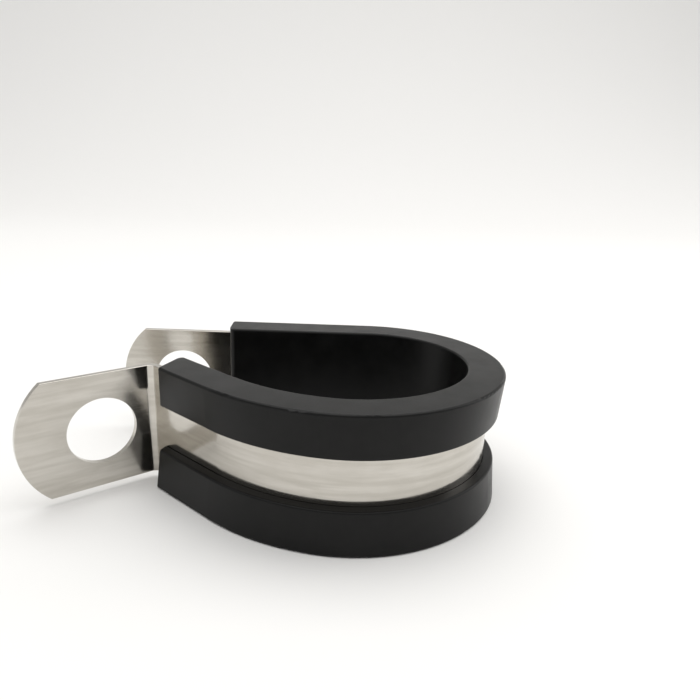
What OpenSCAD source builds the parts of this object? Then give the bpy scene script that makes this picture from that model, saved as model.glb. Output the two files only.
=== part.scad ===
// Rubber-lined P-clip, sprung open: a bent steel strap with a bolt hole in each
// tab, and a rubber liner of C section that grips the strap's two edges.
// Millimetres. The origin is on the axis of the bore, halfway along it, and +Z is
// that axis. The back of the strap runs along X, and both tabs point towards -X.

/* [Strap] */
// Width of the steel strap
strap_width = 15; // [12:0.5:20]
// Thickness of the steel strap
strap_thickness = 0.8; // [0.5:0.1:1.2]
// Rounding of the strip's long edges
strip_edge_radius = 0.1; // [0.05:0.01:0.2]
// Radius that the end of each tab is cut to
tab_end_radius = 10; // [10:0.5:20]

/* [Loop] */
// Bore that the clip is made for, kept on the back of the loop
bore_d = 25; // [20:1:30]
// Angle of the loop that keeps that bore
bore_arc = 118; // [110:1:125]
// Bore radius further round, where the clip is sprung wider
wide_bore_radius = 15.3; // [15:0.1:19]
// Angle of that wider arc
wide_arc = 73; // [60:1:80]
// Bore radius on the last arc before the front run
front_bore_radius = 23.2; // [20:0.2:30]
// Angle of that last arc
front_arc = 31; // [20:1:38]
// Straight strap between the front arc and the fold
front_run = 12.3; // [9:0.1:15]

/* [Tabs] */
// Bolt hole in each tab
hole_d = 8.6; // [5:0.1:9]
// Angle through which the front tab is folded outwards
fold_angle = 80; // [60:1:90]
// Radius inside the fold
fold_radius = 1; // [0.8:0.1:1.5]
// End of the fold to the front tab's hole
fold_to_hole = 5.9; // [5.6:0.1:9]
// Front tab's hole to its end
front_hole_to_end = 10; // [8.5:0.1:12]
// Liner's back end to the back tab's hole
liner_to_back_hole = 7.5; // [6.5:0.1:10]
// Back tab's hole to its end
back_hole_to_end = 9.1; // [8.5:0.1:12]

/* [Liner] */
// Rubber between the strap and the bore
inner_layer = 2.15; // [1.5:0.05:3]
// Rubber past each edge of the strap
side_wall = 1.05; // [0.8:0.05:1.6]
// Lip thickness at the side wall
lip_root = 1.75; // [1.4:0.05:2.4]
// Lip thickness at its free edge
lip_edge = 1.25; // [1:0.05:1.6]
// Strip of steel left bare between the two lips
bare_width = 6.2; // [4:0.2:8]
// Clearance between rubber and steel
liner_gap = 0.05; // [0.02:0.01:0.1]
// Rounding of the liner's long outer edges
edge_radius = 0.3; // [0.2:0.05:0.5]
// Straight liner on the back of the loop
liner_back_run = 20.7; // [14:0.1:24]
// Start of the fold to the liner's front end
liner_front_gap = 1.7; // [1.5:0.1:3]
// Slant of the liner's front end, which sets its lips back from the bore side
end_slant = 22; // [0:1:26]
// Angle by which that end is cut out of square
end_skew = 6; // [0:1:7]
// Rounding of the liner's ends, seen along the axis
end_radius = 0.8; // [0.5:0.1:1.2]

/* [Node] */
// Piece to draw

/* [Hidden] */
$fa = 4;
$fs = 0.25;
half_t = strap_thickness / 2;
half_w = strap_width / 2;
// offsets of the liner's faces from the strap's middle line
pocket = half_t + liner_gap;
bore_off = pocket + inner_layer;
lip_off = pocket + lip_root;
edge_off = pocket + lip_edge;
ledge = bare_width / 2;
half_liner = half_w + liner_gap + side_wall;
// radii of the strap's middle line
bore_r = bore_d / 2 + bore_off;
wide_r = wide_bore_radius + bore_off;
front_r = front_bore_radius + bore_off;
bend_r = fold_radius + half_t;
// the slanted straight lengths are this much slimmer all round and run this far into
// their neighbours, so that they always join as one body
strap_hair = 0.002;
liner_hair = 0.02;
lap = 0.02;
// direction of the outward normal where each length of the path ends
back_a = 90;
wide_a = back_a - bore_arc;
front_a = wide_a - wide_arc;
run_a = front_a - front_arc;
tab_a = run_a + fold_angle;

// outward normal, and direction of travel, where the normal points at angle a
function out(a) = [cos(a), sin(a)];
function along(a) = [sin(a), -cos(a)];
function unit(v) = v / norm(v);

// centres of the arcs, and points on the middle line
wide_c = (bore_r - wide_r) * out(wide_a);
front_c = wide_c + (wide_r - front_r) * out(front_a);
back_start = bore_r * out(back_a);
run_start = front_c + front_r * out(run_a);
bend_start = run_start + front_run * along(run_a);
bend_c = bend_start + bend_r * out(run_a);
bend_end = bend_c - bend_r * out(tab_a);
liner_back = back_start - liner_back_run * along(back_a);
back_to_hole = liner_back_run + liner_to_back_hole;

// To point p in two steps, a rounded one and what is left over, so that the lengths
// of the path meet exactly
module move(p) {
    near = [for (v = p) round(v * 100) / 100];
    translate([near[0], near[1], 0])
        translate([p[0] - near[0], p[1] - near[1], 0]) children();
}

// Its own frame at point p: x is outwards, y is up, z is along the path
module at(p, a) {
    move(p) rotate([90, 0, a]) children();
}

// A slanted straight length from point p, lapped into what it joins at both ends
module run(p, a, length) {
    at(p - lap * along(a), a) linear_extrude(length + 2 * lap) children();
}

// An arc of a section about centre c, from direction a0 down to a1
module turn(c, r, a0, a1) {
    move(c) rotate_extrude(start = a1, angle = a0 - a1) translate([r, 0]) children();
}

// What comes off a corner at p to round it, where its sides run in directions da and db
module corner_cut(p, da, db, r) {
    half = acos(da * db) / 2;
    l = r / tan(half);
    mid = unit(da + db);
    over = -0.5 * r * mid;
    c = p + mid * r / sin(half);
    difference() {
        polygon([p + da * l, c, p + db * l, p + db * l + over, p + 2 * over, p + da * l + over]);
        translate(c) circle(r);
    }
}

// The liner's C section, where x is the offset outwards from the strap's middle line
module liner_section(slim = 0) {
    wall = half_liner - slim;
    inner = -bore_off + slim;
    root = lip_off - slim;
    edge = edge_off - slim;
    shelf = ledge + slim;
    slot_t = pocket + slim;
    slot_w = half_w + liner_gap + slim;
    slope = unit([edge - root, shelf - wall]);
    difference() {
        polygon([
            [inner, -wall], [root, -wall], [edge, -shelf],
            [slot_t, -shelf], [slot_t, -slot_w], [-slot_t, -slot_w],
            [-slot_t, slot_w], [slot_t, slot_w], [slot_t, shelf],
            [edge, shelf], [root, wall], [inner, wall]
        ]);
        for (s = [-1, 1]) scale([1, s]) {
            corner_cut([inner, wall], [1, 0], [0, -1], edge_radius);
            corner_cut([root, wall], slope, [-1, 0], edge_radius);
            corner_cut([edge, shelf], [-1, 0], -slope, edge_radius);
        }
    }
}

// The strap's section, a strip with its long edges deburred
module strap_section(slim = 0) {
    difference() {
        square([strap_thickness - 2 * slim, strap_width - 2 * slim], center = true);
        for (s = [-1, 1], q = [-1, 1]) scale([q, s])
            corner_cut([half_t - slim, half_w - slim], [0, -1], [-1, 0], strip_edge_radius);
    }
}

// What comes off a tab from point p in direction a: round its end, and its bolt hole
module tab_cut(p, a, hole_at, past_hole) {
    end = hole_at + past_hole;
    start = end - tab_end_radius + sqrt(tab_end_radius ^ 2 - half_w ^ 2) - 1;
    translate([p[0], p[1], 0]) rotate([90, 0, a])
        linear_extrude(4 * strap_thickness, center = true) {
            difference() {
                translate([start, -strap_width]) square([end + 1 - start, 2 * strap_width]);
                translate([end - tab_end_radius, 0]) circle(tab_end_radius);
            }
            translate([hole_at, 0]) circle(d = hole_d);
        }
}

// One strip of steel: back tab, loop, fold and front tab
module strap() {
    back_len = back_to_hole + back_hole_to_end;
    front_len = fold_to_hole + front_hole_to_end;
    color("silver") difference() {
        union() {
            at(back_start - back_len * along(back_a), back_a)
                linear_extrude(back_len) strap_section();
            turn([0, 0], bore_r, back_a, wide_a) strap_section();
            turn(wide_c, wide_r, wide_a, front_a) strap_section();
            turn(front_c, front_r, front_a, run_a) strap_section();
            run(run_start, run_a, front_run) strap_section(strap_hair);
            turn(bend_c, bend_r, tab_a + 180, run_a + 180) strap_section();
            run(bend_end, tab_a, front_len) strap_section(strap_hair);
        }
        tab_cut(back_start, 180, back_to_hole, back_hole_to_end);
        tab_cut(bend_end, tab_a - 90, fold_to_hole, front_hole_to_end);
    }
}

// What trims the front end of the liner, in the frame at that end
module front_trim() {
    end = [cos(end_slant), -sin(end_slant)];
    inner = [-bore_off, bore_off * tan(end_slant)];
    far = 4 * bore_off;
    rotate([90 - end_skew, 0, 0]) linear_extrude(3 * half_liner, center = true) {
        polygon([inner - far * end, inner + far * end, far * end + [0, 2 * far], [-far, 2 * far]]);
        corner_cut(inner, [0, -1], end, end_radius);
    }
}

// What rounds the back end of the liner, in the frame at that end
module back_trim() {
    rotate([90, 0, 0]) linear_extrude(3 * half_liner, center = true) {
        corner_cut([-bore_off, 0], [1, 0], [0, 1], end_radius);
        corner_cut([lip_off, 0], [0, 1], [-1, 0], end_radius);
    }
}

// Rubber channel round the strap's two edges, open along its outer face
module liner() {
    color([0.13, 0.13, 0.13]) difference() {
        union() {
            at(liner_back, back_a) linear_extrude(liner_back_run) liner_section();
            turn([0, 0], bore_r, back_a, wide_a) liner_section();
            turn(wide_c, wide_r, wide_a, front_a) liner_section();
            turn(front_c, front_r, front_a, run_a) liner_section();
            run(run_start, run_a, front_run) liner_section(liner_hair);
        }
        at(bend_start - liner_front_gap * along(run_a), run_a) front_trim();
        at(liner_back, back_a) back_trim();
    }
}

strap();
liner();
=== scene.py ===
"""Looks for the rubber-lined P-clip: brushed stainless strap, black rubber liner."""

import math

import bpy
from mathutils import Matrix, Vector


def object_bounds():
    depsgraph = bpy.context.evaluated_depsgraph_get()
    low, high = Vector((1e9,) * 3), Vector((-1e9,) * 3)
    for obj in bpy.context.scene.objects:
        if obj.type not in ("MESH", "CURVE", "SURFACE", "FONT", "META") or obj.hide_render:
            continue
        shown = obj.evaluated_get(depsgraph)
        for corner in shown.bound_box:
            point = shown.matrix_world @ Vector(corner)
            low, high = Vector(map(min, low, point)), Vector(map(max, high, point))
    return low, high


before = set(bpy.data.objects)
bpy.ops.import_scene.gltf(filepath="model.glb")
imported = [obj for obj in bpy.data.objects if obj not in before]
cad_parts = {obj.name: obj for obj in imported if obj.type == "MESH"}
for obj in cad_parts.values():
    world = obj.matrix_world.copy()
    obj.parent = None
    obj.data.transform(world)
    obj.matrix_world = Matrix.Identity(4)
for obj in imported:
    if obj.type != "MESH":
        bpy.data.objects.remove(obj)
cad_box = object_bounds()
MM = 0.001


# ---------------------------------------------------------------- node helpers

class Graph:
    """A material's node tree, with short ways to add and link nodes."""

    def __init__(self, name):
        self.mat = bpy.data.materials.new(name)
        self.mat.use_nodes = True
        self.tree = self.mat.node_tree
        self.tree.nodes.clear()
        out = self.tree.nodes.new("ShaderNodeOutputMaterial")
        self.bsdf = self.tree.nodes.new("ShaderNodeBsdfPrincipled")
        self.link(self.bsdf.outputs["BSDF"], out.inputs["Surface"])
        self.coord = self.tree.nodes.new("ShaderNodeTexCoord").outputs["Object"]

    def link(self, a, b):
        self.tree.links.new(a, b)

    def put(self, socket, value):
        if isinstance(value, bpy.types.NodeSocket):
            self.link(value, socket)
        else:
            socket.default_value = value

    def mapped(self, scale):
        n = self.tree.nodes.new("ShaderNodeMapping")
        self.link(self.coord, n.inputs["Vector"])
        n.inputs["Scale"].default_value = scale
        return n.outputs["Vector"]

    def noise(self, vector, scale=1.0, detail=2.0, rough=0.5, distortion=0.0):
        n = self.tree.nodes.new("ShaderNodeTexNoise")
        self.link(vector, n.inputs["Vector"])
        n.inputs["Scale"].default_value = scale
        n.inputs["Detail"].default_value = detail
        n.inputs["Roughness"].default_value = rough
        n.inputs["Distortion"].default_value = distortion
        return n.outputs["Fac"]

    def remap(self, value, a, b, c, d):
        """The range a to b taken to c to d."""
        n = self.tree.nodes.new("ShaderNodeMapRange")
        self.link(value, n.inputs["Value"])
        for key, v in (("From Min", a), ("From Max", b), ("To Min", c), ("To Max", d)):
            n.inputs[key].default_value = v
        return n.outputs["Result"]

    def math(self, op, a, b=0.0):
        n = self.tree.nodes.new("ShaderNodeMath")
        n.operation = op
        self.put(n.inputs[0], a)
        self.put(n.inputs[1], b)
        return n.outputs[0]

    def mix(self, fac, a, b):
        """Colour a where fac is 0, and b where it is 1."""
        n = self.tree.nodes.new("ShaderNodeMix")
        n.data_type = "RGBA"
        self.put(n.inputs["Factor"], fac)
        for socket, v in ((n.inputs[6], a), (n.inputs[7], b)):
            self.put(socket, (*v, 1) if isinstance(v, tuple) else v)
        return n.outputs[2]

    def bump(self, height, strength, distance):
        n = self.tree.nodes.new("ShaderNodeBump")
        self.link(height, n.inputs["Height"])
        n.inputs["Strength"].default_value = strength
        n.inputs["Distance"].default_value = distance
        return n.outputs["Normal"]


# ---------------------------------------------------------------- materials

STEEL_DARK = (0.50, 0.475, 0.43)
STEEL_BRIGHT = (0.60, 0.575, 0.53)
STEEL_CLOUD = (0.44, 0.41, 0.365)
RUBBER_DARK = (0.0012, 0.0012, 0.0012)
RUBBER_BRIGHT = (0.004, 0.004, 0.0038)
PAPER_DARK = (0.885, 0.88, 0.868)
PAPER_BRIGHT = (0.895, 0.89, 0.88)


def steel():
    """Stainless strip, rolled bright with fine lines along its length."""
    g = Graph("stainless_strip")
    b = g.bsdf
    b.inputs["Metallic"].default_value = 1.0
    # the strip's faces all stand along Z, so lines that vary with Z run lengthwise
    fine = g.noise(g.mapped((60, 60, 9000)), 1.0, 3.0, 0.6)
    broad = g.noise(g.mapped((90, 90, 1300)), 1.0, 3.0, 0.55)
    cloud = g.noise(g.mapped((260, 260, 420)), 1.0, 4.0, 0.6, 0.4)
    tint = g.mix(g.remap(broad, 0.35, 0.65, 0, 1), STEEL_DARK, STEEL_BRIGHT)
    tint = g.mix(g.remap(cloud, 0.45, 0.75, 0, 0.35), tint, STEEL_CLOUD)
    g.put(b.inputs["Base Color"], tint)
    lines_rough = g.remap(fine, 0.3, 0.7, 0.10, 0.17)
    cloud_rough = g.remap(cloud, 0.4, 0.8, 0.0, 0.07)
    g.put(b.inputs["Roughness"], g.math("ADD", lines_rough, cloud_rough))
    height = g.math("ADD", g.math("MULTIPLY", fine, 0.7), g.math("MULTIPLY", broad, 0.6))
    g.put(b.inputs["Normal"], g.bump(height, 0.25, 0.01 * MM))
    return g.mat


def rubber():
    """Moulded black rubber, satin, with a faint fine texture."""
    g = Graph("black_rubber")
    b = g.bsdf
    grain = g.noise(g.mapped((1, 1, 1)), 7000.0, 3.0, 0.6)
    soft = g.noise(g.mapped((1, 1, 1)), 330.0, 4.0, 0.6)
    g.put(b.inputs["Base Color"], g.mix(g.remap(soft, 0.35, 0.75, 0, 1), RUBBER_DARK, RUBBER_BRIGHT))
    g.put(b.inputs["Roughness"], g.remap(soft, 0.3, 0.75, 0.31, 0.40))
    b.inputs["Specular IOR Level"].default_value = 0.22
    g.put(b.inputs["Normal"], g.bump(grain, 0.25, 0.02 * MM))
    return g.mat


def paper():
    """Matt white sweep under and behind the clip."""
    g = Graph("white_sweep")
    b = g.bsdf
    cloud = g.noise(g.mapped((1, 1, 1)), 4.0, 2.0, 0.5)
    g.put(b.inputs["Base Color"], g.mix(cloud, PAPER_DARK, PAPER_BRIGHT))
    b.inputs["Roughness"].default_value = 0.85
    b.inputs["Specular IOR Level"].default_value = 0.2
    return g.mat


def dress(node, mat):
    """Give every face of a CAD node one material."""
    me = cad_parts[node].data
    if not me.materials:
        me.materials.append(mat)
    for i in range(len(me.materials)):
        me.materials[i] = mat


dress("strap", steel())
dress("liner", rubber())


# ---------------------------------------------------------------- floor and sweep

floor_z = cad_box[0][2]


def sweep():
    """A flat sheet that curves up far behind the clip."""
    half_width = 1.6
    near = -1.0
    far = 0.75
    rise = 1.1
    r = 0.45
    steps = 24
    line = [(near, 0.0), (far - r, 0.0)]
    for i in range(1, steps + 1):
        t = math.radians(90 * i / steps)
        line.append((far - r + r * math.sin(t), r - r * math.cos(t)))
    line.append((far, rise))
    verts, faces = [], []
    for y, z in line:
        verts += [(-half_width, y, floor_z + z), (half_width, y, floor_z + z)]
    for i in range(len(line) - 1):
        faces.append((2 * i, 2 * i + 1, 2 * i + 3, 2 * i + 2))
    me = bpy.data.meshes.new("sweep")
    me.from_pydata(verts, [], faces)
    for p in me.polygons:
        p.use_smooth = True
    ob = bpy.data.objects.new("sweep", me)
    bpy.context.scene.collection.objects.link(ob)
    me.materials.append(paper())


sweep()


# ---------------------------------------------------------------- light

def softbox(name, loc, size, power, color):
    """A rectangular lamp that points at the middle of the bore."""
    aim = Vector((0, 0, 0))
    d = bpy.data.lights.new(name, "AREA")
    d.shape = "RECTANGLE"
    d.size, d.size_y = size
    d.energy = power
    d.color = color
    ob = bpy.data.objects.new(name, d)
    ob.location = loc
    ob.rotation_euler = (aim - Vector(loc)).to_track_quat("-Z", "Y").to_euler()
    bpy.context.scene.collection.objects.link(ob)


softbox("top_box", (0.0, 0.05, 0.55), (0.7, 0.6), 2.35, (1.0, 0.995, 0.985))
softbox("right_box", (0.5, 0.12, 0.30), (0.3, 0.4), 0.6, (1.0, 0.99, 0.98))

world = bpy.data.worlds.new("studio")
world.use_nodes = True
bg = world.node_tree.nodes["Background"]
bg.inputs["Color"].default_value = (1.0, 0.995, 0.985, 1)
bg.inputs["Strength"].default_value = 0.62
bpy.context.scene.world = world


# ---------------------------------------------------------------- camera

cam = bpy.data.cameras.new("camera")
cam.sensor_width = 36.0
cam.sensor_fit = "HORIZONTAL"
cam.lens = 32.244
cam.clip_start = 0.005
cam.clip_end = 10
eye = bpy.data.objects.new("camera", cam)
bpy.context.scene.collection.objects.link(eye)
bpy.context.scene.camera = eye
# the camera looks along +Y, pitched down by rx, turned by ry and rolled by rz, in radians
rx = 0.3016
ry = -0.0268
rz = 0.0327
turn = Matrix.Rotation(rz, 3, "Z") @ Matrix.Rotation(ry, 3, "Y") @ Matrix.Rotation(rx, 3, "X")
view = turn @ Matrix(((1, 0, 0), (0, 0, -1), (0, 1, 0)))
right, down, ahead = view
place = Matrix((right, -down, -ahead)).transposed().to_4x4()
place.translation = Vector((-5.084, -78.178, 34.136)) * MM
eye.matrix_world = place

bpy.context.scene.view_settings.view_transform = "Standard"
